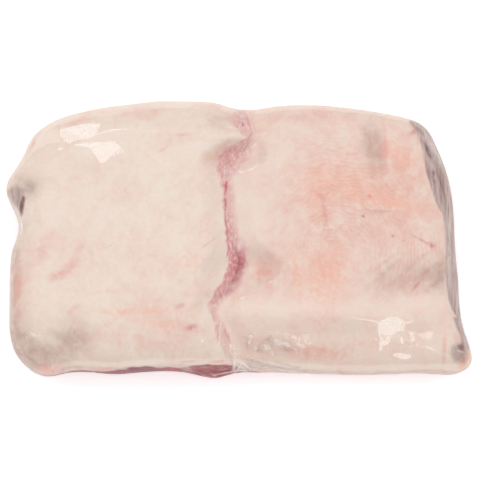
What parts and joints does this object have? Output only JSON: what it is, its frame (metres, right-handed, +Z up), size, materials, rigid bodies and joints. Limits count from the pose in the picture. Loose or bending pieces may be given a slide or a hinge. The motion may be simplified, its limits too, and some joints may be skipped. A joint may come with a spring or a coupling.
{
  "type": "boneless pork butt vacuum pack",
  "caption": "Boneless pork butts lying side by side, fat side up, in a clear shrink bag drawn tight; a block with rolled edges and a winding groove where they meet.",
  "frame": {"origin": "middle of the pack's box, on the surface that it lies on", "axes": "+X along the pack to its right end, +Y from the front side to the back side, +Z up through the fat side"},
  "size_m": [0.4002, 0.2414, 0.0878],
  "materials": {
    "wrapped_pork": "pale pink pork fat under a clear glossy film"
  },
  "bodies": {
    "root": {"vacuum_pack": "wrapped_pork"}
  },
  "joints": []
}
